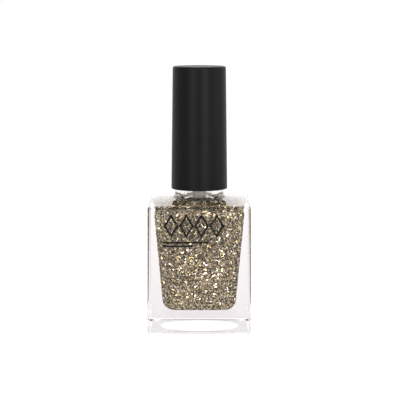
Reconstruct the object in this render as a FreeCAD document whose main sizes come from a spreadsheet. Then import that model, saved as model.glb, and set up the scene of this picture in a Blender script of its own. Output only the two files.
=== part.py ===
import FreeCAD, Part
import os
import re
import Sketcher

# A nail polish bottle: a square glass bottle with a threaded neck, and a tall round cap that
# carries the brush. Millimetres, +Z up, the origin at the centre of the face it stands on,
# and the printed front of the bottle towards -Y.

doc = FreeCAD.newDocument("nail_polish_bottle")

# ---------------------------------------------------------------- driving dimensions

SIZES = {
    # glass, outside: a square block with a slight draft under a shallow pillow-shaped shoulder
    "base_width": 27.5,
    "shoulder_width": 27.2,
    "block_top": 36.0,
    "edge_round": 0.7,
    "pillow_apex": 35.4,
    "pillow_drop": 1.3,
    "pillow_half": 14.1,
    "shoulder_round": 0.7,
    "heel_round": 0.7,
    "recess_radius": 10.5,
    "recess_depth": 0.4,
    # glass, inside: a narrower square hollow that tapers to a thick base
    "floor_z": 5.8,
    "hollow_base_width": 18.9,
    "hollow_top_width": 24.1,
    "hollow_top": 34.6,
    "hollow_edge_round": 4.0,
    "ceiling_apex": 33.8,
    "ceiling_drop": 1.3,
    "ceiling_half": 12.6,
    "hollow_floor_round": 2.6,
    "hollow_shoulder_round": 1.6,
    "bore_radius": 3.6,
    "throat_flare": 0.9,
    "throat_root_depth": 3.0,
    # neck, from the bead above the shoulder to the sealing rim
    "bead_radius": 6.6,
    "bead_top": 37.9,
    "bead_round": 0.5,
    "neck_radius": 5.6,
    "foot_flare": 0.6,
    "neck_root_depth": 1.0,
    "rim_z": 46.8,
    "rim_round": 0.4,
    # thread: 12 turns to the inch, right-handed, with a trapezoid ridge on each part
    "pitch": 2.1167,
    "neck_crest_radius": 6.35,
    "neck_ridge_root": 1.3,
    "neck_ridge_crest": 0.6,
    "neck_ridge_z": 42.3,
    "neck_ridge_turns": 1.4,
    "cap_crest_radius": 5.75,
    "cap_ridge_root": 1.0,
    "cap_ridge_crest": 0.45,
    "cap_ridge_drop": 0.98,
    "cap_ridge_turns": 1.5,
    "ridge_sink": 0.1,
    # overcap: a cone frustum with a thin wall
    "cap_rim_z": 37.4,
    "cap_top_z": 70.3,
    "cap_rim_radius": 7.57,
    "cap_draft": 0.013,
    "cap_wall": 0.52,
    "cap_ceiling": 0.9,
    "cap_top_round": 0.5,
    "cap_rim_round": 0.15,
    "fit_gap": 0.02,
    # inner cap
    "skirt_z": 38.3,
    "skirt_bore_radius": 6.475,
    "seat_z": 49.2,
    "deck_z": 50.4,
    "boss_radius": 2.9,
    "boss_top": 53.4,
    "socket_top": 52.3,
    "rib_thickness": 0.9,
    "rib_top": 69.3,
    "rib_sink": 0.5,
    # seal, between the neck rim and the brush flange
    "seal_bore_radius": 2.6,
    "facing_radius": 5.45,
    "facing_z": 46.85,
    "facing_thickness": 0.2,
    "liner_radius": 6.15,
    "liner_z": 47.1,
    "liner_thickness": 1.0,
    # brush
    "flange_radius": 5.6,
    "flange_z": 48.15,
    "flange_gap": 0.05,
    "spigot_radius": 2.0,
    "spigot_top": 52.1,
    "collar_radius": 2.2,
    "collar_z": 43.8,
    "collar_taper": 1.0,
    "stem_radius": 1.9,
    "stem_tip_radius": 1.65,
    "stem_tip_z": 20.3,
    "tuft_socket_radius": 1.05,
    "tuft_socket_top": 25.3,
    "tuft_root_radius": 1.02,
    "tuft_root_top": 25.15,
    "tuft_radius": 2.1,
    "tuft_widest_z": 12.2,
    "tuft_shoulder_radius": 1.7,
    "tuft_shoulder_z": 10.0,
    "tuft_tip_radius": 0.9,
    "tuft_tip_z": 9.0,
    "anchor_width": 2.0,
    "anchor_thickness": 0.25,
    "anchor_height": 1.4,
    "anchor_z": 23.5,
    "anchor_gap": 0.03,
    "anchor_end_gap": 0.09,
    # polish and what lies in it
    "lacquer_gap": 0.02,
    "lacquer_level": 35.0,
    "channel_radius": 2.9,
    "channel_z": 8.0,
    "ball_radius": 2.4,
    "ball_gap": 0.05,
    "ball_lift": 0.02,
}

# where the two steel balls lie on the floor of the hollow
BALL_PLACES = [(-5.4, 2.8), (5.6, -2.2)]
RIB_COUNT = 4
# an edge counts as upright if its rise is this many times its run, and as lying at a level
# if it is no farther from it than the tolerance
STEEPNESS = 3
TOLERANCE = 0.05

sheet = doc.addObject("Spreadsheet::Sheet", "Sizes")
for row, (alias, number) in enumerate(SIZES.items(), start=1):
    sheet.set(f"A{row}", str(number))
    sheet.setAlias(f"A{row}", alias)
doc.recompute()


def bound(text):
    """The expression on sheet sizes that text stands for: every word in it is a size."""
    return re.sub(r"[a-z]\w*", r"Sizes.\g<0>", str(text))


def amount(text):
    """The present value of such an expression."""
    return float(sheet.evalExpression(re.sub(r"Sizes\.", "", bound(text))))


# ---------------------------------------------------------------- sketch and feature helpers

def new_body(label):
    body = doc.addObject("PartDesign::Body", label)
    body.Label = label
    return body


def new_sketch(body, name, plane, height=None):
    """An empty sketch on one of the body's origin planes, raised along its normal if asked."""
    sketch = body.newObject("Sketcher::SketchObject", name)
    planes = {feature.Role: feature for feature in body.Origin.OriginFeatures}
    sketch.AttachmentSupport = [(planes[plane], "")]
    sketch.MapMode = "FlatFace"
    if height is not None:
        sketch.setExpression(".AttachmentOffset.Base.z", bound(height))
    doc.recompute()
    return sketch


def pin_point(sketch, line, end, across, up):
    """Hold one end of a line at (across, up), both expressions on sheet sizes."""
    for kind, text in (("DistanceX", across), ("DistanceY", up)):
        if str(text) == "0":
            axis = -2 if kind == "DistanceX" else -1
            sketch.addConstraint(Sketcher.Constraint("PointOnObject", line, end, axis))
            continue
        index = sketch.addConstraint(
            Sketcher.Constraint(kind, -1, 1, line, end, amount(text))
        )
        sketch.setExpression(f"Constraints[{index}]", bound(text))


def outline(body, name, corners, plane="XZ_Plane", height=None):
    """A closed outline of straight lines through corners, pairs of expressions."""
    sketch = new_sketch(body, name, plane, height)
    points = [FreeCAD.Vector(amount(x), amount(y), 0) for x, y in corners]
    count = len(points)
    for i in range(count):
        sketch.addGeometry(Part.LineSegment(points[i], points[(i + 1) % count]), False)
    for i in range(count):
        sketch.addConstraint(Sketcher.Constraint("Coincident", i, 2, (i + 1) % count, 1))
    for i, (across, up) in enumerate(corners):
        pin_point(sketch, i, 1, across, up)
    doc.recompute()
    return sketch


def disc(body, name, radius, plane="XY_Plane", height=None):
    """A circle about the axis."""
    sketch = new_sketch(body, name, plane, height)
    circle = Part.Circle(FreeCAD.Vector(0, 0, 0), FreeCAD.Vector(0, 0, 1), amount(radius))
    sketch.addGeometry(circle, False)
    sketch.addConstraint(Sketcher.Constraint("Coincident", 0, 3, -1, 1))
    index = sketch.addConstraint(Sketcher.Constraint("Radius", 0, amount(radius)))
    sketch.setExpression(f"Constraints[{index}]", bound(radius))
    doc.recompute()
    return sketch


def turned(body, name, corners, kind="PartDesign::Revolution"):
    """A full turn of an outline about the Z axis."""
    sketch = outline(body, name + "_outline", corners)
    feature = body.newObject(kind, name)
    feature.Profile = sketch
    feature.ReferenceAxis = (sketch, ["V_Axis"])
    feature.Angle = 360
    doc.recompute()
    return feature


def drafted_block(body, name, width, top_width, floor, top):
    """A square pillar about the axis whose four sides lean by the draft between two widths."""
    side = f"({width}) / 2"
    corners = [(f"-{side}", f"-{side}"), (side, f"-{side}"), (side, side), (f"-{side}", side)]
    pad = body.newObject("PartDesign::Pad", name + "_pillar")
    pad.Profile = outline(body, name + "_square", corners, "XY_Plane", floor)
    pad.setExpression("Length", bound(f"({top}) - ({floor})"))
    doc.recompute()
    sides = [
        f"Face{i}" for i, face in enumerate(pad.Shape.Faces, start=1)
        if abs(face.normalAt(0, 0).z) < 0.5
    ]
    ends = [
        f"Face{i}" for i, face in enumerate(pad.Shape.Faces, start=1)
        if face.normalAt(0, 0).z < -0.5
    ]
    draft = body.newObject("PartDesign::Draft", name + "_draft")
    draft.Base = (pad, sides)
    draft.NeutralPlane = (pad, ends)
    draft.Reversed = amount(f"({top_width}) - ({width})") > 0
    lean = f"(({top_width}) - ({width})) / 2 / (({top}) - ({floor}))"
    draft.setExpression("Angle", f"atan(abs({bound(lean)}))")
    doc.recompute()
    return draft


def rounded(body, name, radius, wanted):
    """Round the edges of the body's tip whose own test says so."""
    base = body.Tip
    names = [
        f"Edge{i}" for i, edge in enumerate(base.Shape.Edges, start=1) if wanted(edge)
    ]
    fillet = body.newObject("PartDesign::Fillet", name)
    fillet.Base = (base, names)
    fillet.setExpression("Radius", bound(radius))
    doc.recompute()
    return fillet


def upright(edge):
    """Whether an edge runs nearly along Z."""
    box = edge.BoundBox
    return box.ZLength > STEEPNESS * max(box.XLength, box.YLength, TOLERANCE)


def circle_at(radius, height):
    """A test for a full circle of that radius about the axis, at that height."""
    reach, level = amount(radius), amount(height)

    def wanted(edge):
        box = edge.BoundBox
        return (
            abs(box.XLength - 2 * reach) < TOLERANCE
            and abs(box.YLength - 2 * reach) < TOLERANCE
            and abs(box.ZMin - level) < TOLERANCE
            and abs(box.ZMax - level) < TOLERANCE
        )

    return wanted


def above_pillow(name, half, apex, drop, depth):
    """The space above a shallow pillow: level along its square rim, highest in the middle."""
    reach, peak, sag, rise = (amount(size) for size in (half, apex, drop, depth))
    surface = Part.BezierSurface()
    surface.increase(2, 2)
    for i, x in enumerate((-reach, 0, reach), start=1):
        for j, y in enumerate((-reach, 0, reach), start=1):
            middle = i == 2 and j == 2
            height = peak + 3 * sag if middle else peak - sag
            surface.setPole(i, j, FreeCAD.Vector(x, y, height))
    space = doc.addObject("Part::Feature", name)
    space.Shape = surface.toShape().extrude(FreeCAD.Vector(0, 0, rise))
    return space


def cut_away(body, name, tool):
    """Take a tool's solid out of a body."""
    boolean = body.newObject("PartDesign::Boolean", name)
    boolean.Type = "Cut"
    boolean.setObjects([tool])
    doc.recompute()
    return boolean


def ridge(body, name, corners, turns):
    """A helical thread ridge whose section is an outline beside the axis."""
    sketch = outline(body, name + "_section", corners)
    helix = body.newObject("PartDesign::AdditiveHelix", name)
    helix.Profile = sketch
    helix.ReferenceAxis = (sketch, ["V_Axis"])
    helix.Mode = "pitch-turns-angle"
    helix.LeftHanded = False
    helix.setExpression("Pitch", bound("pitch"))
    helix.setExpression("Turns", bound(turns))
    doc.recompute()
    return helix


# ---------------------------------------------------------------- glass bottle

def shaped_block(body, name, widths, span, edge_round, pillow):
    """A drafted square block with rounded upright edges, under a pillow-shaped top."""
    drafted_block(body, name, *widths, *span)
    rounded(body, name + "_edges", edge_round, upright)
    half, apex, drop = pillow
    space = above_pillow(f"above_{name}", half, apex, drop, "block_top")
    return cut_away(body, name + "_pillow", space)


def rim_edges(low, high):
    """A test for the edges of a block's end face, which lie between two heights."""
    bottom, top = amount(low), amount(high)

    def wanted(edge):
        box = edge.BoundBox
        reach = max(box.XMax, box.YMax, -box.XMin, -box.YMin)
        return box.ZMin > bottom and box.ZMax < top and reach > amount("bore_radius") * 2

    return wanted


def hollow_space(name, gap, top):
    """The hollow inside the glass, drawn in by a gap all round, with its bore up to a height."""
    body = new_body(name)
    shaped_block(
        body,
        name,
        (f"hollow_base_width - 2 * ({gap})", f"hollow_top_width - 2 * ({gap})"),
        (f"floor_z + {gap}", "hollow_top"),
        f"hollow_edge_round - {gap}",
        ("ceiling_half", f"ceiling_apex - ({gap})", "ceiling_drop"),
    )
    ceiling = rim_edges("ceiling_apex - ceiling_drop * 2", "ceiling_apex + 1")
    rounded(body, name + "_shoulder", f"hollow_shoulder_round - {gap}", ceiling)
    floor = rim_edges("floor_z - 1", "floor_z + 1")
    rounded(body, name + "_floor", f"hollow_floor_round - {gap}", floor)
    wide = f"bore_radius + throat_flare - ({gap})"
    turned(body, name + "_bore", [
        ("0", "ceiling_apex - throat_root_depth"),
        (wide, "ceiling_apex - throat_root_depth"),
        (wide, f"ceiling_apex - {gap}"),
        (f"bore_radius - ({gap})", f"ceiling_apex + throat_flare - {gap}"),
        (f"bore_radius - ({gap})", top),
        ("0", top),
    ])
    return body


# ---------------------------------------------------------------- glass bottle

glass = new_body("glass_bottle")
shaped_block(
    glass,
    "glass",
    ("base_width", "shoulder_width"),
    ("0", "block_top"),
    "edge_round",
    ("pillow_half", "pillow_apex", "pillow_drop"),
)
rounded(glass, "glass_shoulder", "shoulder_round", rim_edges("pillow_apex - 2", "block_top"))
rounded(glass, "glass_heel", "heel_round", rim_edges("-1", "1"))
turned(glass, "neck", [
    ("0", "pillow_apex - neck_root_depth"),
    ("bead_radius + foot_flare", "pillow_apex - neck_root_depth"),
    ("bead_radius + foot_flare", "pillow_apex - foot_flare / 2"),
    ("bead_radius", "pillow_apex + foot_flare / 2"),
    ("bead_radius", "bead_top"),
    ("neck_radius", "bead_top"),
    ("neck_radius", "rim_z"),
    ("0", "rim_z"),
])
rounded(glass, "bead_edge", "bead_round", circle_at("bead_radius", "bead_top"))
rounded(glass, "rim_edge", "rim_round", circle_at("neck_radius", "rim_z"))
ridge(glass, "neck_ridge", [
    ("neck_radius - ridge_sink", "neck_ridge_z - neck_ridge_root / 2"),
    ("neck_crest_radius", "neck_ridge_z - neck_ridge_crest / 2"),
    ("neck_crest_radius", "neck_ridge_z + neck_ridge_crest / 2"),
    ("neck_radius - ridge_sink", "neck_ridge_z + neck_ridge_root / 2"),
], "neck_ridge_turns")
cut_away(glass, "hollow", hollow_space("hollow_tool", "0", "rim_z + 1"))
recess = glass.newObject("PartDesign::Pocket", "base_recess")
recess.Profile = disc(glass, "base_circle", "recess_radius")
recess.Reversed = True
recess.setExpression("Length", bound("recess_depth"))
doc.recompute()

# ---------------------------------------------------------------- polish and mixing balls

# The polish fills the hollow up to the throat. A straight well down its middle is the room
# that the brush moves in.
lacquer = hollow_space("lacquer", "lacquer_gap", "lacquer_level")
well = lacquer.newObject("PartDesign::Pocket", "brush_well")
well.Profile = disc(lacquer, "well_circle", "channel_radius", "XY_Plane", "channel_z")
well.Reversed = True
well.setExpression("Length", bound("lacquer_level - channel_z + 1"))
doc.recompute()


def ball(name, place, radius):
    """A sphere that rests on the floor of the hollow."""
    sphere = doc.addObject("Part::Sphere", name)
    sphere.setExpression("Radius", bound(radius))
    sphere.setExpression("Placement.Base.x", str(place[0]))
    sphere.setExpression("Placement.Base.y", str(place[1]))
    sphere.setExpression("Placement.Base.z", bound("floor_z + ball_radius + ball_lift"))
    return sphere


for number, place in enumerate(BALL_PLACES, start=1):
    room = ball(f"ball_room_{number}", place, "ball_radius + ball_gap")
    cut_away(lacquer, f"ball_pocket_{number}", room)

balls = doc.addObject("Part::Compound", "mixing_balls")
balls.Links = [
    ball(f"mixing_ball_{number}", place, "ball_radius")
    for number, place in enumerate(BALL_PLACES, start=1)
]
doc.recompute()

# ---------------------------------------------------------------- overcap


def cone_radius(radius, level):
    """The radius at a level of a surface that leans with the overcap's draft."""
    return f"{radius} - cap_draft * ({level} - cap_rim_z)"


INNER_RADIUS = "cap_rim_radius - cap_wall"
CEILING_Z = "cap_top_z - cap_ceiling"

overcap = new_body("overcap")
turned(overcap, "shell", [
    (INNER_RADIUS, "cap_rim_z"),
    ("cap_rim_radius", "cap_rim_z"),
    (cone_radius("cap_rim_radius", "cap_top_z"), "cap_top_z"),
    ("0", "cap_top_z"),
    ("0", CEILING_Z),
    (cone_radius(INNER_RADIUS, CEILING_Z), CEILING_Z),
])
rounded(overcap, "crown_edge", "cap_top_round",
        circle_at(cone_radius("cap_rim_radius", "cap_top_z"), "cap_top_z"))
rounded(overcap, "rim_outer_edge", "cap_rim_round", circle_at("cap_rim_radius", "cap_rim_z"))

# ---------------------------------------------------------------- inner cap

SKIRT_RADIUS = "cap_rim_radius - cap_wall - fit_gap"

inner_cap = new_body("inner_cap")
turned(inner_cap, "skirt", [
    ("skirt_bore_radius", "skirt_z"),
    (cone_radius(SKIRT_RADIUS, "skirt_z"), "skirt_z"),
    (cone_radius(SKIRT_RADIUS, "deck_z"), "deck_z"),
    ("boss_radius", "deck_z"),
    ("boss_radius", "boss_top"),
    ("0", "boss_top"),
    ("0", "socket_top"),
    ("spigot_radius + fit_gap", "socket_top"),
    ("spigot_radius + fit_gap", "seat_z"),
    ("skirt_bore_radius", "seat_z"),
])
RIDGE_Z = "neck_ridge_z - cap_ridge_drop"
ridge(inner_cap, "cap_ridge", [
    ("skirt_bore_radius + ridge_sink", f"{RIDGE_Z} - cap_ridge_root / 2"),
    ("skirt_bore_radius + ridge_sink", f"{RIDGE_Z} + cap_ridge_root / 2"),
    ("cap_crest_radius", f"{RIDGE_Z} + cap_ridge_crest / 2"),
    ("cap_crest_radius", f"{RIDGE_Z} - cap_ridge_crest / 2"),
], "cap_ridge_turns")
rib = inner_cap.newObject("PartDesign::Pad", "rib")
rib.Profile = outline(inner_cap, "rib_outline", [
    ("boss_radius - rib_sink", "deck_z - ridge_sink"),
    (cone_radius(SKIRT_RADIUS, "deck_z") + " - ridge_sink", "deck_z - ridge_sink"),
    (cone_radius(SKIRT_RADIUS, "rib_top") + " - ridge_sink", "rib_top"),
    ("boss_radius - rib_sink", "rib_top"),
])
rib.Midplane = True
rib.setExpression("Length", bound("rib_thickness"))
doc.recompute()
ribs = inner_cap.newObject("PartDesign::PolarPattern", "ribs")
ribs.Originals = [rib]
ribs.Axis = (rib.Profile[0], ["V_Axis"])
ribs.Angle = 360
ribs.Occurrences = RIB_COUNT
inner_cap.Tip = ribs
doc.recompute()

# ---------------------------------------------------------------- seal


def ring(name, inner, outer, low, thickness):
    """A flat ring about the axis."""
    body = new_body(name)
    turned(body, name + "_turn", [
        (inner, low), (outer, low), (outer, f"{low} + {thickness}"), (inner, f"{low} + {thickness}"),
    ])
    return body


ring("liner_facing", "seal_bore_radius", "facing_radius", "facing_z", "facing_thickness")
ring("sealing_liner", "seal_bore_radius", "liner_radius", "liner_z", "liner_thickness")

# ---------------------------------------------------------------- brush

stem = new_body("brush_stem")
turned(stem, "stem_turn", [
    ("0", "spigot_top"),
    ("0", "tuft_socket_top"),
    ("tuft_socket_radius", "tuft_socket_top"),
    ("tuft_socket_radius", "stem_tip_z"),
    ("stem_tip_radius", "stem_tip_z"),
    ("stem_radius", "collar_z - collar_taper"),
    ("collar_radius", "collar_z"),
    ("collar_radius", "flange_z"),
    ("flange_radius", "flange_z"),
    ("flange_radius", "seat_z - flange_gap"),
    ("spigot_radius", "seat_z - flange_gap"),
    ("spigot_radius", "spigot_top"),
])

tuft = new_body("bristle_tuft")
turned(tuft, "tuft_turn", [
    ("0", "tuft_root_top"),
    ("tuft_root_radius", "tuft_root_top"),
    ("tuft_root_radius", "stem_tip_z"),
    ("tuft_radius", "tuft_widest_z"),
    ("tuft_shoulder_radius", "tuft_shoulder_z"),
    ("tuft_tip_radius", "tuft_tip_z"),
    ("0", "tuft_tip_z"),
])


def plate(body, name, kind, gap, end_gap):
    """The upright plate about which the bristles are folded, or its slot in them."""
    half = f"anchor_width / 2 + {end_gap}"
    low = f"anchor_z - {gap}"
    high = f"anchor_z + anchor_height + {gap}"
    feature = body.newObject(kind, name)
    feature.Profile = outline(body, name + "_outline", [
        (f"-({half})", low), (half, low), (half, high), (f"-({half})", high),
    ])
    feature.Midplane = True
    feature.setExpression("Length", bound(f"anchor_thickness + 2 * {gap}"))
    doc.recompute()


plate(tuft, "anchor_slot", "PartDesign::Pocket", "anchor_gap", "anchor_end_gap")
anchor = new_body("bristle_anchor")
plate(anchor, "anchor_plate", "PartDesign::Pad", "0", "0")

# ---------------------------------------------------------------- checks and files

NODES = ["glass_bottle", "lacquer", "mixing_balls", "overcap", "inner_cap", "liner_facing",
         "sealing_liner", "brush_stem", "bristle_anchor", "bristle_tuft"]

doc.recompute()
for item in doc.Objects:
    if "Invalid" in item.State or "Error" in item.State:
        raise RuntimeError(f"{item.Label} failed: {item.State}")
os.makedirs("parts", exist_ok=True)
for node in NODES:
    shape = doc.getObjectsByLabel(node)[0].Shape
    if shape.isNull() or not shape.isValid() or shape.Volume <= 0:
        raise RuntimeError(f"{node} has no valid solid")
    shape.exportStep(f"parts/{node}.step")
    print(f"{node}: {shape.Volume:.2f} mm3, {len(shape.Solids)} solid(s)")
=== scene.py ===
"""Looks of a glitter nail lacquer bottle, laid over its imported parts."""

import math

import bmesh
import bpy
from bpy.props import FloatProperty, FloatVectorProperty, IntProperty, PointerProperty
from mathutils import Euler, Matrix, Vector
from mathutils.bvhtree import BVHTree


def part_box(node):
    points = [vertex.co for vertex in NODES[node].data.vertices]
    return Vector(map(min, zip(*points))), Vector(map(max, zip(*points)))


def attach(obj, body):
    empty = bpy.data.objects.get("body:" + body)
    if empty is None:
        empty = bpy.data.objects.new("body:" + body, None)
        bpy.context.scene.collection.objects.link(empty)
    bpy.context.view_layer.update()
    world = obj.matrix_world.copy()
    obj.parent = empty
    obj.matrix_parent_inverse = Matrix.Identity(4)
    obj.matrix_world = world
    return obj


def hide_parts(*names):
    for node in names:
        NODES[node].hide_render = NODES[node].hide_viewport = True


bl_info = {
    "name": "Nail Lacquer Bottle",
    "version": (1, 0, 0),
    "blender": (4, 5, 0),
    "location": "3D Viewport > Sidebar > Lacquer",
    "description": "Builds the looks of a glitter lacquer bottle with its brush cap and studio",
    "category": "Object",
}

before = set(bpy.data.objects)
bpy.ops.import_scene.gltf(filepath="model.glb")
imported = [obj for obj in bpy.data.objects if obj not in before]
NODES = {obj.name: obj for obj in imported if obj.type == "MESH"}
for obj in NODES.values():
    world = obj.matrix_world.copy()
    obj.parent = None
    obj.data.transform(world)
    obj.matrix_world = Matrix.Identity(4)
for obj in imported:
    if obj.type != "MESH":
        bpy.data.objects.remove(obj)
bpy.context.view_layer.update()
MM = 0.001
MICRON = 0.000001

# Attribute that gives each flake its own tone, from 0 to 1.
SHADE = "flake_shade"

# The walls of the hollow all face its heart. The base recess lies under the lowest floor, and
# above the foot of the throat only faces within the throat's reach look into the hollow.
HEART = Vector((0.0, 0.0, 20.0 * MM))
LOWEST_FLOOR = 5.0 * MM
THROAT_FOOT = 35.2 * MM
THROAT_REACH = 5.0 * MM


def length(name, description, millimetres):
    """A size in metres that a user can change."""
    return FloatProperty(
        name=name, description=description, default=millimetres * MM, min=0.0,
        unit="LENGTH", precision=5,
    )


def share(name, description, default):
    """A plain number that a user can change."""
    return FloatProperty(name=name, description=description, default=default, min=0.0)


def degrees(name, description, default):
    """An angle that a user can change."""
    return FloatProperty(
        name=name, description=description, default=math.radians(default), unit="ROTATION"
    )


def paint(name, description, *default):
    """A linear colour that a user can change."""
    return FloatVectorProperty(
        name=name, description=description, default=default, size=3, subtype="COLOR",
        min=0.0, max=1.0,
    )


# ---------------------------------------------------------------- node graphs


class Wire:
    """One node output, on which Python arithmetic adds Math nodes."""

    def __init__(self, graph, socket):
        self.graph = graph
        self.socket = socket

    def maths(self, operation, *values):
        return self.graph.add(self.graph.maths_node, {"operation": operation}, values)

    def __add__(self, other):
        return self.maths("ADD", self, other)

    def __mul__(self, other):
        return self.maths("MULTIPLY", self, other)

    def __sub__(self, other):
        return self.maths("SUBTRACT", self, other)

    def __rsub__(self, other):
        return self.maths("SUBTRACT", other, self)

    def __pow__(self, other):
        return self.maths("POWER", self, other)

    def sine(self):
        return self.maths("SINE", self)


class Graph:
    """A node tree that is filled one node at a time."""

    maths_node = "ShaderNodeMath"

    def __init__(self, tree):
        self.tree = tree
        self.tree.nodes.clear()

    def add(self, kind, settings=None, values=(), output=0):
        """Adds a node: its settings come first, then the values or links of its sockets."""
        node = self.tree.nodes.new(kind)
        for key, setting in (settings or {}).items():
            if key == "stops":
                self.fill_ramp(node.color_ramp, setting)
            else:
                setattr(node, key, setting)
        pairs = values.items() if isinstance(values, dict) else enumerate(values)
        for key, value in pairs:
            if isinstance(value, Wire):
                self.tree.links.new(value.socket, node.inputs[key])
            elif value is not None:
                node.inputs[key].default_value = value
        return Wire(self, node.outputs[output]) if node.outputs else node

    @staticmethod
    def fill_ramp(ramp, stops):
        while len(ramp.elements) < len(stops):
            ramp.elements.new(0.5)
        for element, (place, colour) in zip(ramp.elements, stops):
            element.position = place
            element.color = (*colour, 1.0)


class Finish(Graph):
    """A material: one Principled shader and the nodes that feed it."""

    def __init__(self, name):
        self.material = bpy.data.materials.new(name)
        self.material.use_nodes = True
        super().__init__(self.material.node_tree)

    def place(self, size, turn=(0.0, 0.0, 0.0)):
        """Object coordinates in which one unit is a size in metres."""
        spot = self.add("ShaderNodeTexCoord", output="Object")
        values = {"Vector": spot, "Rotation": turn, "Scale": (1.0 / size,) * 3}
        return self.add("ShaderNodeMapping", None, values)

    def height(self, low, high):
        """0 at the low height of the object and 1 at the high one."""
        spot = self.add("ShaderNodeTexCoord", output="Object")
        level = self.add("ShaderNodeSeparateXYZ", None, [spot], "Z")
        return self.add("ShaderNodeMapRange", None, [level, low, high, 0.0, 1.0])

    def noise(self, size, detail=3.0, roughness=0.5):
        values = {"Vector": self.place(size), "Scale": 1.0, "Detail": detail, "Roughness": roughness}
        return self.add("ShaderNodeTexNoise", {"noise_dimensions": "3D"}, values, "Fac")

    def ramp(self, factor, *stops):
        return self.add("ShaderNodeValToRGB", {"stops": stops}, [factor], "Color")

    def mix(self, factor, first, second, blend="MIX"):
        values = {0: factor, 6: self.colour(first), 7: self.colour(second)}
        return self.add("ShaderNodeMix", {"data_type": "RGBA", "blend_type": blend}, values, 2)

    @staticmethod
    def colour(value):
        return value if isinstance(value, Wire) else (*value, 1.0)

    def bump(self, height, depth, strength=1.0):
        values = {"Height": height, "Distance": depth, "Strength": strength}
        return self.add("ShaderNodeBump", None, values)

    def surface(self, **inputs):
        """Ends the material with a Principled shader, its sockets named in plain words."""
        values = {key.replace("_", " ").title().replace("Ior", "IOR"): value
                  for key, value in inputs.items()}
        for key in ("Base Color", "Emission Color"):
            if key in values:
                values[key] = self.colour(values[key])
        shader = self.add("ShaderNodeBsdfPrincipled", None, values)
        self.add("ShaderNodeOutputMaterial", None, [shader])
        return self.material


class Tree(Graph):
    """A Geometry Nodes tree with named inputs."""

    kinds = {
        float: "NodeSocketFloat",
        int: "NodeSocketInt",
        bpy.types.Material: "NodeSocketMaterial",
    }

    def __init__(self, name, **inputs):
        super().__init__(bpy.data.node_groups.new(name, "GeometryNodeTree"))
        face = self.tree.interface
        face.new_socket("Geometry", in_out="INPUT", socket_type="NodeSocketGeometry")
        self.values = {}
        for key, value in inputs.items():
            kind = next(kind for form, kind in self.kinds.items() if isinstance(value, form))
            label = key.replace("_", " ").capitalize()
            socket = face.new_socket(label, in_out="INPUT", socket_type=kind)
            self.values[socket.identifier] = value
        face.new_socket("Geometry", in_out="OUTPUT", socket_type="NodeSocketGeometry")
        entry = self.tree.nodes.new("NodeGroupInput")
        self.given = [Wire(self, socket) for socket in entry.outputs]

    def random(self, low, high, seed):
        """A number that differs from point to point."""
        values = {2: low, 3: high, "Seed": seed}
        return self.add("FunctionNodeRandomValue", {"data_type": "FLOAT"}, values, 1)

    def finish(self, geometry, material):
        """Realizes the instances and gives them their material."""
        plain = self.add("GeometryNodeRealizeInstances", None, [geometry])
        painted = self.add("GeometryNodeSetMaterial", None, {"Geometry": plain, "Material": material})
        self.add("NodeGroupOutput", None, [painted])

    def grow(self, name, mesh):
        """Runs the tree on a mesh and returns the result as a plain object."""
        source = bpy.data.objects.new(name + "_source", mesh)
        bpy.context.scene.collection.objects.link(source)
        modifier = source.modifiers.new(self.tree.name, "NODES")
        modifier.node_group = self.tree
        for identifier, value in self.values.items():
            modifier[identifier] = value
        graph = bpy.context.evaluated_depsgraph_get()
        grown = bpy.data.meshes.new_from_object(
            source.evaluated_get(graph), preserve_all_data_layers=True, depsgraph=graph
        )
        source.modifiers.remove(modifier)
        bpy.data.objects.remove(source)
        return linked(name, grown)


# ---------------------------------------------------------------- mesh helpers


def linked(name, mesh):
    """An object in the scene that holds the mesh."""
    mesh.name = name
    thing = bpy.data.objects.new(name, mesh)
    bpy.context.scene.collection.objects.link(thing)
    return thing


def meshed(name, shape):
    """Turns a bmesh into a mesh and frees it."""
    mesh = bpy.data.meshes.new(name)
    shape.to_mesh(mesh)
    shape.free()
    return mesh


def settle(thing, body, slot, *replaced):
    """Parents a finished piece to the empty of its body and hides the parts that it replaces."""
    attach(thing, body)
    if replaced:
        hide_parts(*replaced)


def coat(node, material):
    """Gives a part of the frame its material."""
    for slot in NODES[node].material_slots:
        slot.material = material


def merged(node):
    """A bmesh copy of a part, with its loose triangles joined."""
    shape = bmesh.new()
    shape.from_mesh(NODES[node].data)
    bmesh.ops.remove_doubles(shape, verts=shape.verts, dist=MICRON)
    shape.normal_update()
    return shape


def inner_wall(low, high):
    """The faces of the glass that look into its hollow, between two heights."""
    shape = merged("glass_bottle")
    lost = []
    for face in shape.faces:
        spot = face.calc_center_median()
        outward = face.normal.dot(HEART - spot) <= 0
        far = math.hypot(spot.x, spot.y) > THROAT_REACH and spot.z > THROAT_FOOT
        if outward or far or spot.z < LOWEST_FLOOR:
            lost.append(face)
    bmesh.ops.delete(shape, geom=lost, context="FACES")
    for level, side in ((low, -1.0), (high, 1.0)):
        geometry = shape.verts[:] + shape.edges[:] + shape.faces[:]
        bmesh.ops.bisect_plane(
            shape, geom=geometry, plane_co=(0, 0, level), plane_no=(0, 0, side), clear_outer=True
        )
    return shape


# ---------------------------------------------------------------- settings


class GlassSettings(bpy.types.PropertyGroup):
    tint: paint("Tint", "Colour that light takes in the thin upper glass", 0.925, 0.895, 0.885)
    base_tint: paint("Base tint", "Colour that light takes in the thick base", 0.775, 0.735, 0.750)
    index: share("Refraction index", "How strongly the glass bends light", 1.5)
    wave: length("Wave", "Depth of the pressed glass's slow waves", 0.004)
    wave_size: length("Wave size", "Width of one wave", 7.0)


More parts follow.
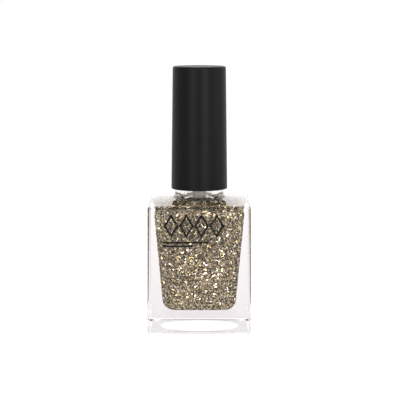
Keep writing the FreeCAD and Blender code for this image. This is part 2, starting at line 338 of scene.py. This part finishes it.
class LacquerSettings(bpy.types.PropertyGroup):
    level: length("Level", "Height of the liquid in the throat", 33.9)
    wetting: length("Wetting", "How far the liquid reaches into the wall, so that no air shows", 0.05)
    shadow: paint("Shadow colour", "Darkest colour between the flakes", 0.007, 0.004, 0.0015)
    body: paint("Body colour", "Mean colour of the liquid", 0.16, 0.105, 0.040)
    grain: length("Grain", "Width of the deeper flakes", 0.5)
    lean: share("Lean", "How far the deeper flakes turn out of the wall", 0.35)


class GlitterSettings(bpy.types.PropertyGroup):
    flake: length("Flake radius", "Half the width of a flake", 0.31)
    thickness: length("Flake thickness", "Thickness of a flake", 0.02)
    gold_gap: length("Gold spacing", "Least distance between two gold flakes", 0.46)
    champagne_gap: length("Champagne spacing", "Least distance between two pale flakes", 0.45)
    # The dark flakes are painted shade: near-black stand-ins for flakes that lie in shade.
    bronze_gap: length("Painted shade spacing", "Least distance between two dark flakes", 0.40)
    smallest: share("Smallest flake", "Size of the smallest flake, as a share of the flake radius", 0.65)
    largest: share("Largest flake", "Size of the largest flake, as a share of the flake radius", 1.25)
    tilt: degrees("Tilt", "Most that a flake leans out of the wall", 26.0)
    seed: IntProperty(name="Seed", description="Picks another arrangement of flakes", default=7, min=0)


class NeckSettings(bpy.types.PropertyGroup):
    top: length("Top", "Highest fleck on the wall of the throat", 40.0)
    fleck: length("Fleck radius", "Half the width of a fleck", 0.18)
    spacing: length("Fleck spacing", "Least distance between two flecks", 1.9)
    seed: IntProperty(name="Seed", description="Picks another arrangement of flecks", default=5, min=0)


class OrnamentSettings(bpy.types.PropertyGroup):
    ink: paint("Ink", "Colour of the ornament", 0.0030, 0.0022, 0.0018)
    stroke: length("Stroke", "Width of a printed line", 0.50)
    relief: length("Relief", "Thickness of the ink", 0.03)
    left: length("Left offset", "Distance of the left end from the middle", 9.4)
    width: length("Width", "Width of the ornament", 16.0)
    middle: length("Middle", "Height of the chain of rhombs", 29.0)
    rise: length("Rise", "Height of one rhomb", 5.4)
    rhombs: IntProperty(name="Rhombs", description="Number of rhombs in the chain", default=4, min=1)
    fullness: share("Fullness", "Half the width of a rhomb, as a share of its room in the chain", 0.42)
    drop: length("Drop", "Distance from the chain down to the first line", 1.7)
    line_gap: length("Line gap", "Distance between the two lines", 1.0)
    first_line: length("First line", "Length of the first line", 11.6)
    second_line: length("Second line", "Length of the second line", 7.4)


class BrushSettings(bpy.types.PropertyGroup):
    stem: paint("Stem colour", "Natural plastic of the stem", 0.42, 0.41, 0.37)
    fibre_colour: paint("Fibre colour", "Nylon of the bristles", 0.045, 0.040, 0.036)
    fibre: length("Fibre radius", "Half the thickness of a bristle", 0.045)
    spacing: length("Fibre spacing", "Least distance between two bristles at the root", 0.085)
    root_radius: length("Root radius", "Radius of the tuft where it leaves its socket", 0.95)
    root_depth: length("Root depth", "How deep the root lies under the top of the tuft", 0.1)
    flare: share("Flare", "How far the tuft opens, as a share of its root", 0.95)
    widest: share("Widest place", "Where the tuft is widest, as a share of its length", 0.85)
    stray: share("Stray", "How far a fibre strays at its tip, as a share of its place", 0.07)
    crown: length("Crown", "How much shorter the outer fibres are", 1.0)
    uneven: length("Unevenness", "How much the fibres differ in length", 0.15)
    seed: IntProperty(name="Seed", description="Picks another arrangement of fibres", default=3, min=0)


class ClosureSettings(bpy.types.PropertyGroup):
    shell: paint("Shell colour", "Matt plastic of the outer cap", 0.0030, 0.0028, 0.0032)
    sleeve: paint("Sleeve colour", "Natural plastic of the threaded sleeve", 0.40, 0.39, 0.36)
    foam: paint("Foam colour", "Foam of the sealing ring", 0.44, 0.43, 0.40)
    film: paint("Film colour", "Film that faces the rim of the glass", 0.46, 0.47, 0.48)


class StageSettings(bpy.types.PropertyGroup):
    distance: length("Camera distance", "From the lens to the middle of the bottle", 408.0)
    aim: length("Aim height", "Height at which the lens looks", 34.1)
    aside: length("Aim offset", "How far the lens stands to the right", 0.19)
    pitch: degrees("Pitch", "How far the lens looks down", 7.57)
    lens: share("Lens", "Focal length in millimetres on a 36 mm sensor", 135.45)
    paper: paint("Paper colour", "Floor", 0.22, 0.22, 0.22)
    glow: share("Paper glow", "Light that the floor gives off, so that it shows no edge", 0.82)
    fill: share("Fill light", "Strength of the white surroundings", 1.5)
    front: share("Front shade", "Strength of the surroundings behind the lens", 0.26)


SETTINGS = {
    "lacquer_glass": GlassSettings,
    "lacquer_liquid": LacquerSettings,
    "lacquer_glitter": GlitterSettings,
    "lacquer_neck": NeckSettings,
    "lacquer_ornament": OrnamentSettings,
    "lacquer_brush": BrushSettings,
    "lacquer_closure": ClosureSettings,
    "lacquer_stage": StageSettings,
}


# ---------------------------------------------------------------- finishes

# How much the roughness of a moulded skin varies from place to place.
ROUGHNESS_SPREAD = 0.15


def glass_finish(settings):
    """Clear glass with slow waves, more strongly tinted in its thick base."""
    finish = Finish("clear_glass")
    wave = finish.bump(finish.noise(settings.wave_size, 1.0), settings.wave)
    low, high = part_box("glass_bottle")
    depth = finish.height(low.z, high.z)
    return finish.surface(
        base_color=finish.mix(depth, settings.base_tint, settings.tint),
        transmission_weight=1.0, ior=settings.index, roughness=0.0, normal=wave,
    )


def cells(finish, size, turn):
    """Random colour of each flake-shaped cell, as a colour and as its three parts."""
    values = {"Vector": finish.place(size, turn), "Scale": 1.0, "Randomness": 1.0}
    colour = finish.add("ShaderNodeTexVoronoi", {"voronoi_dimensions": "3D"}, values, "Color")
    parts = [finish.add("ShaderNodeSeparateColor", None, [colour], i) for i in range(3)]
    return colour, parts


def leaning(finish, colour, amount):
    """The surface's normal, turned a little in each cell."""
    plain = finish.add("ShaderNodeNewGeometry", output="Normal")
    offset = finish.add(
        "ShaderNodeVectorMath", {"operation": "MULTIPLY_ADD"},
        [colour, (2 * amount,) * 3, (-amount,) * 3],
    )
    turned = finish.add("ShaderNodeVectorMath", {"operation": "ADD"}, [plain, offset])
    return finish.add("ShaderNodeVectorMath", {"operation": "NORMALIZE"}, [turned])


def liquid_finish(settings):
    """The polish behind the flakes, as a mass of smaller leaning flakes."""
    finish = Finish("glitter_lacquer")
    colour, (tone, patch, polish) = cells(finish, settings.grain, (0.3, 0.2, 0.1))
    shade = finish.ramp(
        tone,
        (0.0, settings.shadow),
        (0.45, settings.body),
        (0.72, (0.62, 0.45, 0.19)),
        (1.0, (0.95, 0.84, 0.58)),
    )
    cloud = finish.noise(3.2 * MM, 2.0)
    toned = finish.mix(cloud * 0.5, shade, settings.shadow)
    return finish.surface(
        base_color=toned, metallic=patch * 0.4 + 0.55, roughness=polish * 0.25 + 0.28,
        normal=leaning(finish, colour, settings.lean),
    )


def flake_finish(name, *stops):
    """Shiny flakes, each of its own tone on the colour ramp."""
    finish = Finish(name)
    shade = finish.add(
        "ShaderNodeAttribute", {"attribute_type": "GEOMETRY", "attribute_name": SHADE}, output="Fac"
    )
    speck = finish.noise(0.12 * MM, 2.0)
    tone = finish.ramp(shade, *stops)
    worn = finish.mix(speck * 0.35, tone, (0.10, 0.06, 0.02), "MULTIPLY")
    return finish.surface(
        base_color=worn, metallic=0.96, roughness=shade * 0.12 + speck * 0.10 + 0.08,
    )


def ink_finish(settings):
    """Matt ink, a little uneven."""
    finish = Finish("printed_ink")
    grain = finish.noise(0.25 * MM)
    return finish.surface(
        base_color=finish.mix(grain * 0.5, settings.ink, (0.010, 0.0075, 0.0055)),
        roughness=grain * 0.25 + 0.35, specular_ior_level=0.12,
        normal=finish.bump(grain, 0.004 * MM),
    )


def moulded_finish(name, colour, shade, grain, depth, roughness, **more):
    """Moulded plastic: cloudy between two colours, its skin grained to a width and a depth."""
    finish = Finish(name)
    cloud = finish.noise(6 * grain, 2.0)
    skin = finish.noise(grain, 4.0, 0.6)
    return finish.surface(
        base_color=finish.mix(cloud * 0.7, colour, shade),
        roughness=skin * ROUGHNESS_SPREAD + roughness - ROUGHNESS_SPREAD / 2,
        normal=finish.bump(skin, depth),
        **more,
    )


def steel_finish():
    """Polished steel with fine scratches."""
    finish = Finish("polished_steel")
    grain = finish.place(0.5 * MM, (0.4, 0.9, 0.2))
    values = {"Vector": grain, "Scale": 1.0, "Detail": 4.0, "Distortion": 1.5}
    scratch = finish.add("ShaderNodeTexNoise", None, values, "Fac")
    return finish.surface(
        base_color=finish.mix(scratch * 0.4, (0.72, 0.71, 0.69), (0.50, 0.49, 0.47)),
        metallic=1.0, roughness=scratch * 0.2 + 0.10, normal=finish.bump(scratch, 0.002 * MM),
    )


def foam_finish(settings):
    """Foam with fine pores."""
    finish = Finish("liner_foam")
    values = {"Vector": finish.place(0.22 * MM), "Scale": 1.0}
    pores = finish.add("ShaderNodeTexVoronoi", None, values, "Distance")
    return finish.surface(
        base_color=finish.mix(pores * 0.5, (0.32, 0.31, 0.28), settings.foam),
        roughness=pores * 0.2 + 0.62, normal=finish.bump(pores, 0.03 * MM),
    )


# ---------------------------------------------------------------- operators


class LACQUER_OT_glass(bpy.types.Operator):
    """Give the bottle its clear pressed glass"""

    bl_idname = "lacquer.glass"
    bl_label = "Glass Bottle"

    def execute(self, context):
        coat("glass_bottle", glass_finish(context.scene.lacquer_glass))
        return {"FINISHED"}


def liquid_shape(settings):
    """The filled hollow of the bottle, a little proud of its wall."""
    shape = inner_wall(0.0, settings.level)
    bmesh.ops.remove_doubles(shape, verts=shape.verts, dist=MICRON)
    rim = [edge for edge in shape.edges if edge.is_boundary]
    bmesh.ops.contextual_create(shape, geom=rim)
    bmesh.ops.triangulate(shape, faces=[f for f in shape.faces if len(f.verts) > 4])
    bmesh.ops.recalc_face_normals(shape, faces=shape.faces)
    shape.normal_update()
    for vert in shape.verts:
        if vert.co.z < settings.level - MICRON:
            vert.co += vert.normal * settings.wetting
    return shape


class LACQUER_OT_liquid(bpy.types.Operator):
    """Fill the bottle with lacquer"""

    bl_idname = "lacquer.liquid"
    bl_label = "Lacquer"

    def execute(self, context):
        settings = context.scene.lacquer_liquid
        mesh = meshed("lacquer_fill", liquid_shape(settings))
        mesh.materials.append(liquid_finish(settings))
        fill = linked("lacquer_fill", mesh)
        for face in mesh.polygons:
            face.use_smooth = True
        settle(fill, "bottle", "glitter_lacquer", "lacquer")
        return {"FINISHED"}


def as_rotation(tree, vector):
    """Turns three angles into a rotation."""
    return tree.add("FunctionNodeEulerToRotation", None, [vector])


def crowd(spacing):
    """Points per square metre, so many that the spacing alone thins them out."""
    return (0.9 / spacing) ** 2 * 3.0


def flake_tree(spacing, radius, settings, seed, material):
    """Lays leaning six-sided flakes on a surface."""
    tree = Tree(
        "flakes", spacing=spacing, flake_radius=radius, thickness=settings.thickness,
        tilt=settings.tilt, seed=seed, material=material,
    )
    wall, gap, radius, depth, tilt, pick, skin = tree.given[:7]
    spread = {"Mesh": wall, "Distance Min": gap, "Density Max": crowd(spacing), "Seed": pick}
    points = tree.add("GeometryNodeDistributePointsOnFaces", {"distribute_method": "POISSON"}, spread)
    facing = Wire(tree, points.socket.node.outputs["Rotation"])
    lean = [tree.random(tilt * -1.0, tilt, pick + step) for step in (1, 2)]
    spin = tree.random(0.0, math.tau, pick + 3)
    turn = tree.add("ShaderNodeCombineXYZ", None, [*lean, spin])
    turned = tree.add(
        "FunctionNodeRotateRotation", {"rotation_space": "LOCAL"}, [facing, as_rotation(tree, turn)]
    )
    plate = tree.add(
        "GeometryNodeMeshCylinder", {"fill_type": "NGON"},
        {"Vertices": 6, "Radius": radius, "Depth": depth},
    )
    size = tree.random(settings.smallest, settings.largest, pick + 4)
    values = {"Points": points, "Instance": plate, "Rotation": turned, "Scale": size}
    flakes = tree.add("GeometryNodeInstanceOnPoints", None, values)
    named = tree.add(
        "GeometryNodeStoreNamedAttribute", {"data_type": "FLOAT", "domain": "INSTANCE"},
        {"Geometry": flakes, "Name": SHADE, "Value": tree.random(0.0, 1.0, pick + 5)},
    )
    tree.finish(named, skin)
    return tree


# Each tone of glitter: what it adds to the seed, and its colour ramp.
GLITTER = {
    "gold": (
        0, ((0.0, (0.13, 0.078, 0.024)), (0.5, (0.64, 0.47, 0.19)), (1.0, (1.0, 0.87, 0.52))),
    ),
    "champagne": (
        40, ((0.0, (0.60, 0.49, 0.30)), (0.3, (0.98, 0.87, 0.64)), (1.0, (1.0, 0.95, 0.84))),
    ),
    # Near-black flakes of painted shade, standing in for flakes that lie in shade between the bright
    # ones.
    "bronze": (
        80, ((0.0, (0.003, 0.002, 0.001)), (0.5, (0.012, 0.007, 0.003)), (1.0, (0.11, 0.066, 0.026))),
    ),
}


class LACQUER_OT_glitter(bpy.types.Operator):
    """Lay the glitter flakes against the wall of the bottle"""

    bl_idname = "lacquer.glitter"
    bl_label = "Glitter"

    def execute(self, context):
        settings = context.scene.lacquer_glitter
        shape = liquid_shape(context.scene.lacquer_liquid)
        for tone, (offset, stops) in GLITTER.items():
            gap = getattr(settings, tone + "_gap")
            skin = flake_finish(tone + "_flake", *stops)
            tree = flake_tree(gap, settings.flake, settings, settings.seed + offset, skin)
            name = "glitter_" + tone
            settle(tree.grow(name, meshed(name, shape.copy())), "bottle", "glitter_lacquer")
        shape.free()
        return {"FINISHED"}


# Colour ramp of the flecks in the throat.
FLECK = ((0.0, (0.03, 0.02, 0.01)), (0.5, (0.55, 0.38, 0.14)), (1.0, (0.95, 0.80, 0.45)))


class LACQUER_OT_neck(bpy.types.Operator):
    """Leave a few flecks of lacquer on the wall of the throat"""

    bl_idname = "lacquer.neck"
    bl_label = "Throat Flecks"

    def execute(self, context):
        settings = context.scene.lacquer_neck
        level = context.scene.lacquer_liquid.level
        wall = meshed("throat", inner_wall(level, settings.top))
        glitter = context.scene.lacquer_glitter
        skin = flake_finish("fleck", *FLECK)
        tree = flake_tree(settings.spacing, settings.fleck, glitter, settings.seed, skin)
        settle(tree.grow("throat_flecks", wall), "bottle", "glitter_lacquer")
        return {"FINISHED"}


# A place on the Y axis in front of the bottle, the way from there to its front wall, and how
# deep ink sinks into the glass as a share of its relief.
AHEAD = -50.0 * MM
INWARD = Vector((0, 1, 0))
INK_SINK = 0.3


def strip(shape, skin, start, end, stroke, relief):
    """A thin printed line between two points of the front wall, given as (x, z)."""
    along = (Vector(end) - Vector(start)).normalized() * stroke / 2
    across = Vector((-along.y, along.x))
    rows = []
    for lift in (-relief, INK_SINK * relief):
        row = []
        for sign_along, sign_across in ((-1, -1), (1, -1), (1, 1), (-1, 1)):
            tip = Vector(start) if sign_along < 0 else Vector(end)
            spot = tip + along * sign_along + across * sign_across
            hit = skin.ray_cast(Vector((spot.x, AHEAD, spot.y)), INWARD)[0]
            row.append(shape.verts.new((spot.x, hit.y + lift, spot.y)))
        rows.append(row)
    front, back = rows
    shape.faces.new(front)
    shape.faces.new(back[::-1])
    for i in range(4):
        j = (i + 1) % 4
        shape.faces.new((front[j], front[i], back[i], back[j]))


def ornament_lines(settings):
    """The lines of the chain of rhombs and the two lines under it, as pairs of (x, z)."""
    pitch = settings.width / settings.rhombs
    across = pitch * settings.fullness
    up = settings.rise / 2
    lines = []
    for i in range(settings.rhombs):
        middle = -settings.left + (i + 0.5) * pitch
        corners = [
            (middle + x * across, settings.middle + z * up)
            for x, z in ((-1, 0), (0, 1), (1, 0), (0, -1))
        ]
        lines += [(corners[k], corners[(k + 1) % 4]) for k in range(4)]
    first = settings.middle - up - settings.drop
    second = first - settings.line_gap
    for height, width in ((first, settings.first_line), (second, settings.second_line)):
        lines.append(((-settings.left, height), (width - settings.left, height)))
    return lines


class LACQUER_OT_ornament(bpy.types.Operator):
    """Print a plain chain of rhombs and two lines on the front of the glass"""

    bl_idname = "lacquer.ornament"
    bl_label = "Ornament"

    def execute(self, context):
        settings = context.scene.lacquer_ornament
        glass = merged("glass_bottle")
        skin = BVHTree.FromBMesh(glass)
        glass.free()
        shape = bmesh.new()
        for start, end in ornament_lines(settings):
            strip(shape, skin, start, end, settings.stroke, settings.relief)
        bmesh.ops.recalc_face_normals(shape, faces=shape.faces)
        mesh = meshed("front_ornament", shape)
        mesh.materials.append(ink_finish(settings))
        settle(linked("front_ornament", mesh), "bottle", "cap_plastic")
        return {"FINISHED"}


# Points on one fibre, and fibre roots per square metre, so many that the spacing thins them out.
FIBRE_POINTS = 9
FIBRE_CROWD = 400.0 / (MM * MM)


def bristle_tree(settings, root, tip, material):
    """Draws a flared tuft of fibres down from a small round root."""
    tree = Tree(
        "bristles", spacing=settings.spacing, fibre_radius=settings.fibre, flare=settings.flare,
        seed=settings.seed, material=material,
    )
    disc, gap, fibre, flare, pick, skin = tree.given[:6]
    spread = {"Mesh": disc, "Distance Min": gap, "Density Max": FIBRE_CROWD, "Seed": pick}
    points = tree.add("GeometryNodeDistributePointsOnFaces", {"distribute_method": "POISSON"}, spread)
    line = tree.add("GeometryNodeCurvePrimitiveLine", None, {"Start": (0, 0, 0), "End": (0, 0, -MM)})
    hair = tree.add("GeometryNodeResampleCurve", None, {"Curve": line, "Count": FIBRE_POINTS})
    hairs = tree.add("GeometryNodeInstanceOnPoints", None, {"Points": points, "Instance": hair})
    sway = tree.add(
        "GeometryNodeStoreNamedAttribute", {"data_type": "FLOAT", "domain": "INSTANCE"},
        {"Geometry": hairs, "Name": "sway", "Value": tree.random(-1.0, 1.0, pick + 1)},
    )
    loose = tree.add("GeometryNodeRealizeInstances", None, [sway])
    along = tree.add("GeometryNodeSplineParameter", output="Factor")
    drift = tree.add("GeometryNodeInputNamedAttribute", {"data_type": "FLOAT"}, ["sway"])
    spot = tree.add("GeometryNodeInputPosition")
    parts = [tree.add("ShaderNodeSeparateXYZ", None, [spot], i) for i in range(2)]
    across = (parts[0] ** 2 + parts[1] ** 2) * (1.0 / settings.root_radius**2)
    open_out = flare * (along * (math.pi / 2 / settings.widest)).sine() + 1.0
    wander = (along * along) * drift * settings.stray + open_out
    fall = (root - tip) - across * settings.crown + drift * settings.uneven
    place = tree.add(
        "ShaderNodeCombineXYZ", None, [parts[0] * wander, parts[1] * wander, root - along * fall]
    )
    bent = tree.add("GeometryNodeSetPosition", None, {"Geometry": loose, "Position": place})
    ring = tree.add("GeometryNodeCurvePrimitiveCircle", None, {"Resolution": 4, "Radius": fibre})
    tubes = tree.add(
        "GeometryNodeCurveToMesh", None, {"Curve": bent, "Profile Curve": ring, "Fill Caps": True}
    )
    tree.finish(tubes, skin)
    return tree


class LACQUER_OT_brush(bpy.types.Operator):
    """Make the brush: stem, anchor and bristles"""

    bl_idname = "lacquer.brush"
    bl_label = "Brush"

    def execute(self, context):
        settings = context.scene.lacquer_brush
        low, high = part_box("bristle_tuft")
        root = high.z - settings.root_depth
        disc = bmesh.new()
        bmesh.ops.create_circle(
            disc, cap_ends=True, segments=24, radius=settings.root_radius,
            matrix=Matrix.Translation((0, 0, root)),
        )
        nylon = moulded_finish(
            "bristle_nylon", settings.fibre_colour, (0.10, 0.085, 0.07),
            grain=0.1 * MM, depth=0.004 * MM, roughness=0.32,
        )
        tree = bristle_tree(settings, root, low.z, nylon)
        tuft = tree.grow("bristles", meshed("bristle_root", disc))
        settle(tuft, "cap", "bristle", "bristle_tuft")
        stem = moulded_finish(
            "stem_plastic", settings.stem, (0.34, 0.33, 0.29),
            grain=0.5 * MM, depth=0.008 * MM, roughness=0.38,
            subsurface_weight=0.25, subsurface_scale=2.0 * MM,
        )
        coat("brush_stem", stem)
        coat("bristle_anchor", steel_finish())
        return {"FINISHED"}


class LACQUER_OT_closure(bpy.types.Operator):
    """Finish the outer cap, its threaded sleeve and the seal"""

    bl_idname = "lacquer.closure"
    bl_label = "Cap"

    def execute(self, context):
        settings = context.scene.lacquer_closure
        shell = moulded_finish(
            "cap_plastic", settings.shell, (0.0046, 0.0044, 0.0048),
            grain=0.12 * MM, depth=0.006 * MM, roughness=0.42, specular_ior_level=0.08,
        )
        sleeve = moulded_finish(
            "sleeve_plastic", settings.sleeve, (0.33, 0.32, 0.29),
            grain=0.6 * MM, depth=0.01 * MM, roughness=0.36,
            subsurface_weight=0.2, subsurface_scale=2.0 * MM,
        )
        film = moulded_finish(
            "facing_film", settings.film, (0.38, 0.39, 0.40),
            grain=0.8 * MM, depth=0.004 * MM, roughness=0.22,
        )
        coat("overcap", shell)
        coat("inner_cap", sleeve)
        coat("liner_facing", film)
        coat("sealing_liner", foam_finish(settings))
        return {"FINISHED"}


class LACQUER_OT_balls(bpy.types.Operator):
    """Polish the mixing balls"""

    bl_idname = "lacquer.balls"
    bl_label = "Mixing Balls"

    def execute(self, context):
        coat("mixing_balls", steel_finish())
        return {"FINISHED"}


# Soft lights: name, degrees to the right of the front, then metres above the floor and away
# from the bottle, width and length in metres, and power in watts.
LIGHTS = (
    ("left_strip", -27.0, 0.12, 0.60, 0.14, 0.50, 2.6),
    ("right_strip", 25.0, 0.12, 0.60, 0.14, 0.50, 3.4),
    ("right_wall", 75.0, 0.15, 0.70, 0.50, 0.60, 2.0),
    ("top_sheet", 0.0, 0.80, 0.05, 0.60, 0.60, 2.0),
)
LIT_SPOT = Vector((0, 0, 35.0 * MM))
FLOOR_REACH = 30.0

# The Y part of the directions in which the surroundings are darkest, behind the lens, and
# lightest, behind the bottle. Between them the light grows smoothly.
DARKEST_WAY = -0.85
LIGHTEST_WAY = 0.6


def soft_light(name, azimuth, height, away, width, tall, power):
    """A soft light that looks at the middle of the bottle."""
    lamp = bpy.data.lights.new(name, "AREA")
    lamp.shape = "RECTANGLE"
    lamp.size = width
    lamp.size_y = tall
    lamp.energy = power
    light = bpy.data.objects.new(name, lamp)
    bpy.context.scene.collection.objects.link(light)
    turn = math.radians(azimuth)
    light.location = (away * math.sin(turn), -away * math.cos(turn), height)
    aim = LIT_SPOT - light.location
    light.rotation_euler = aim.to_track_quat("-Z", "Y").to_euler()


def surroundings(settings):
    """White paper all round, darker behind the lens; the lens itself sees only white."""
    world = bpy.data.worlds.new("studio")
    bpy.context.scene.world = world
    world.use_nodes = True
    graph = Graph(world.node_tree)
    way = graph.add("ShaderNodeTexCoord", output="Generated")
    front = graph.add("ShaderNodeSeparateXYZ", None, [way], "Y")
    shade = graph.add(
        "ShaderNodeMapRange", {"interpolation_type": "SMOOTHSTEP"},
        [front, DARKEST_WAY, LIGHTEST_WAY, settings.front, settings.fill],
    )
    seen = graph.add("ShaderNodeLightPath", output="Is Camera Ray")
    strength = graph.add("ShaderNodeMix", {"data_type": "FLOAT"}, {0: seen, 2: shade, 3: 1.0})
    light = graph.add("ShaderNodeBackground", None, {"Color": (1, 1, 1, 1), "Strength": strength})
    graph.add("ShaderNodeOutputWorld", None, [light])


def paper_floor(settings):
    """A wide plain floor that gives off a little light."""
    paper = Finish("white_paper")
    tooth = paper.noise(2.0 * MM)
    plane = bmesh.new()
    bmesh.ops.create_grid(plane, x_segments=1, y_segments=1, size=FLOOR_REACH)
    floor = linked("floor", meshed("floor", plane))
    floor.data.materials.append(
        paper.surface(
            base_color=paper.mix(tooth * 0.3, settings.paper, (0.20, 0.20, 0.20)),
            roughness=0.9, specular_ior_level=0.0,
            emission_color=(1.0, 1.0, 1.0), emission_strength=settings.glow,
        )
    )


def stand_camera(settings):
    """A long lens in front of the bottle, looking a little down."""
    eye = bpy.data.cameras.new("camera")
    eye.lens = settings.lens
    eye.sensor_width = 36.0
    camera = bpy.data.objects.new("camera", eye)
    bpy.context.scene.collection.objects.link(camera)
    camera.location = (
        settings.aside,
        -settings.distance * math.cos(settings.pitch),
        settings.aim + settings.distance * math.sin(settings.pitch),
    )
    camera.rotation_euler = Euler((math.pi / 2 - settings.pitch, 0.0, 0.0))
    bpy.context.scene.camera = camera


class LACQUER_OT_stage(bpy.types.Operator):
    """Set the floor, the soft lights and the camera"""

    bl_idname = "lacquer.stage"
    bl_label = "Stage"

    def execute(self, context):
        settings = context.scene.lacquer_stage
        context.scene.view_settings.view_transform = "Standard"
        surroundings(settings)
        paper_floor(settings)
        for light in LIGHTS:
            soft_light(*light)
        stand_camera(settings)
        return {"FINISHED"}


OPERATORS = (
    LACQUER_OT_glass,
    LACQUER_OT_liquid,
    LACQUER_OT_glitter,
    LACQUER_OT_neck,
    LACQUER_OT_ornament,
    LACQUER_OT_brush,
    LACQUER_OT_closure,
    LACQUER_OT_balls,
    LACQUER_OT_stage,
)


class LACQUER_PT_parts(bpy.types.Panel):
    """Lists the bottle's pieces"""

    bl_idname = "LACQUER_PT_parts"
    bl_label = "Nail Lacquer Bottle"
    bl_space_type = "VIEW_3D"
    bl_region_type = "UI"
    bl_category = "Lacquer"

    def draw(self, context):
        for operator in OPERATORS:
            self.layout.operator(operator.bl_idname)
        for name, group in SETTINGS.items():
            box = self.layout.box()
            for key in group.__annotations__:
                box.prop(getattr(context.scene, name), key)


CLASSES = (*SETTINGS.values(), *OPERATORS, LACQUER_PT_parts)


def register():
    for kind in CLASSES:
        bpy.utils.register_class(kind)
    for name, group in SETTINGS.items():
        setattr(bpy.types.Scene, name, PointerProperty(type=group))


def unregister():
    for name in SETTINGS:
        delattr(bpy.types.Scene, name)
    for kind in reversed(CLASSES):
        bpy.utils.unregister_class(kind)


def main():
    register()
    for operator in OPERATORS:
        prefix, name = operator.bl_idname.split(".")
        getattr(getattr(bpy.ops, prefix), name)()


if __name__ == "__main__":
    main()
